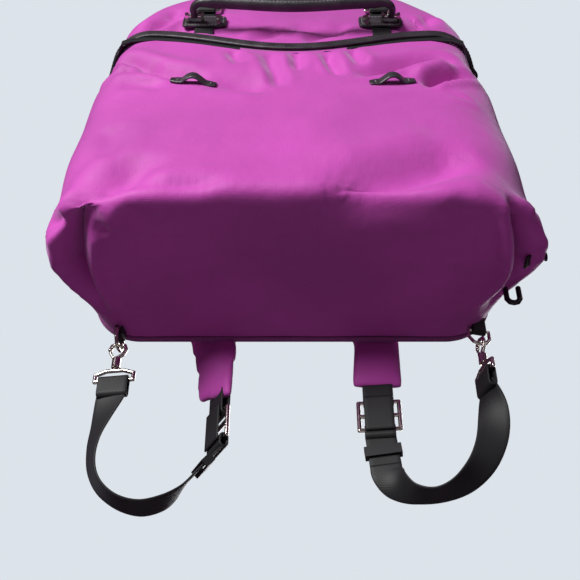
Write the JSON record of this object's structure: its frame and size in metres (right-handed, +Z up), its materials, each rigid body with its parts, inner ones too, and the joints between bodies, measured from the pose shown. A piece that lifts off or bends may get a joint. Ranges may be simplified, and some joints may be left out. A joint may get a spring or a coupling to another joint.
{
  "type": "racket backpack",
  "caption": "Soft backpack with a front racket compartment, leather carry handle and lash tabs, padded shoulder straps clipped to its lower corners by snap hooks.",
  "frame": {"origin": "top of the inside of the hang loop, where a wall hook holds the bag", "axes": "+X right seen from the front, -Y front, +Z up"},
  "size_m": [0.3937, 0.2013, 0.6443],
  "materials": {
    "nylon": "coated plain-weave nylon, magenta",
    "foam": "closed-cell foam",
    "board": "polyethylene sheet",
    "lining": "woven lining",
    "binding": "folded seam tape",
    "leather": "grained, edge-dyed",
    "zip_tape": "coil zip tape",
    "webbing": "woven webbing",
    "nickel": "nickel plated",
    "zip_metal": "black enamel",
    "filler": "cord filler",
    "keeper": "moulded"
  },
  "bodies": {
    "bag": {"back_panel": "nylon", "back_foam": "foam", "frame_sheet": "board", "back_binding": "binding", "rear_gusset": "nylon", "base_panel": "nylon", "base_board": "board", "divider_panel": "lining", "shelf_panel": "lining", "front_bridge": "nylon", "leather_band": "leather", "main_zip_rear": "zip_tape", "pocket_zip_rear": "zip_tape", "zip_end_tabs": "binding", "hang_loop": "webbing", "strap_yoke": "nylon", "side_loop": "keeper", "corner_tabs": "webbing", "corner_rings": "nickel", "swivel_eyes": "nickel", "webbing_loop_left": "webbing", "webbing_loop_right": "webbing"},
    "top_flap": {"top_front_panel": "nylon", "top_gusset": "nylon", "main_zip_front": "zip_tape", "front_strap_left": "webbing", "front_strap_right": "webbing", "rectangle_rings": "nickel", "upper_straps": "webbing", "handle_patches": "leather", "handle_rivets": "nickel", "handle_pins": "nickel"},
    "handle": {"handle_grip": "leather", "handle_core": "filler"},
    "front_pocket": {"front_panel": "nylon", "pocket_side_left": "nylon", "pocket_side_right": "nylon", "pocket_base": "nylon", "pocket_zip_front": "zip_tape", "lash_tab_left": "leather", "lash_tab_right": "leather"},
    "pocket_zip_slider": {"pocket_slider": "zip_metal"},
    "pocket_zip_pull": {"pocket_pull": "zip_metal"},
    "main_zip_slider": {"main_slider": "zip_metal"},
    "main_zip_pull": {"main_pull": "zip_metal"},
    "left_strap": {"strap_pad_left": "nylon", "pad_tail_left": "webbing", "adjuster_left": "nickel", "webbing_run_left": "webbing"},
    "right_strap": {"strap_pad_right": "nylon", "pad_tail_right": "webbing", "adjuster_right": "nickel", "webbing_run_right": "webbing"},
    "left_keeper": {"keeper_left": "keeper"},
    "right_keeper": {"keeper_right": "keeper"},
    "left_hook": {"snap_hook_left": "nickel"},
    "right_hook": {"snap_hook_right": "nickel"},
    "left_gate": {"hook_gate_left": "nickel"},
    "right_gate": {"hook_gate_right": "nickel"}
  },
  "joints": [
    {"name": "top_flap_open", "type": "hinge", "parent": "bag", "child": "top_flap", "pos_m": [0, -0.10816, -0.189], "axis": [1, 0, 0], "range_deg": [0, 60]},
    {"name": "handle_lift", "type": "hinge", "parent": "top_flap", "child": "handle", "pos_m": [0, -0.11702, -0.178], "axis": [-1, 0, 0], "range_deg": [-10, 90]},
    {"name": "pocket_open", "type": "hinge", "parent": "bag", "child": "front_pocket", "pos_m": [0, -0.095, -0.478], "axis": [1, 0, 0], "range_deg": [0, 50]},
    {"name": "pocket_zip_run", "type": "slide", "parent": "bag", "child": "pocket_zip_slider", "axis": [-0.0683, 0.1189, 0.9906], "range_m": [0, 0.185]},
    {"name": "pocket_pull_flip", "type": "hinge", "parent": "pocket_zip_slider", "child": "pocket_zip_pull", "pos_m": [0.19742, -0.09092, -0.44577], "axis": [-0.0082, -0.9929, 0.1189], "range_deg": [0, 150]},
    {"name": "main_zip_run", "type": "hinge", "parent": "bag", "child": "main_zip_slider", "pos_m": [0, -0.06341, -0.21674], "axis": [0, -0.9929, 0.1191], "range_deg": [0, 152]},
    {"name": "main_pull_flip", "type": "hinge", "parent": "main_zip_slider", "child": "main_zip_pull", "pos_m": [0.17591, -0.05828, -0.17318], "axis": [-0.0288, -0.9929, 0.1156], "range_deg": [0, 150]},
    {"name": "left_strap_swing", "type": "hinge", "parent": "bag", "child": "left_strap", "pos_m": [0, 0.0017, -0.076], "axis": [1, 0, 0], "range_deg": [0, 12], "deforming": ["webbing_loop_left"]},
    {"name": "right_strap_swing", "type": "hinge", "parent": "bag", "child": "right_strap", "pos_m": [0, 0.0017, -0.076], "axis": [1, 0, 0], "range_deg": [0, 12], "deforming": ["webbing_loop_right"]},
    {"name": "left_keeper_slide", "type": "slide", "parent": "left_strap", "child": "left_keeper", "axis": [0.6217, 0.091, 0.7779], "range_m": [-0.005, 0.005]},
    {"name": "right_keeper_slide", "type": "slide", "parent": "right_strap", "child": "right_keeper", "axis": [-0.0852, 0.0774, 0.9933], "range_m": [-0.005, 0.005]},
    {"name": "left_hook_swivel", "type": "hinge", "parent": "bag", "child": "left_hook", "pos_m": [-0.145, -0.014, -0.519], "axis": [0, 0, 1], "range_deg": [-30, 30]},
    {"name": "right_hook_swivel", "type": "hinge", "parent": "bag", "child": "right_hook", "pos_m": [0.156, -0.014, -0.5145], "axis": [0, 0, 1], "range_deg": [-30, 30]},
    {"name": "left_gate_press", "type": "hinge", "parent": "left_hook", "child": "left_gate", "pos_m": [-0.14856, -0.0135, -0.5081], "axis": [0.1392, 0.9903, 0], "range_deg": [0, 22], "stiffness_Nm_per_rad": 0.002, "springref_deg": -11.46},
    {"name": "right_gate_press", "type": "hinge", "parent": "right_hook", "child": "right_gate", "pos_m": [0.15513, -0.01051, -0.5036], "axis": [0.9703, 0.2419, 0], "range_deg": [0, 22], "stiffness_Nm_per_rad": 0.002, "springref_deg": -11.46}
  ]
}
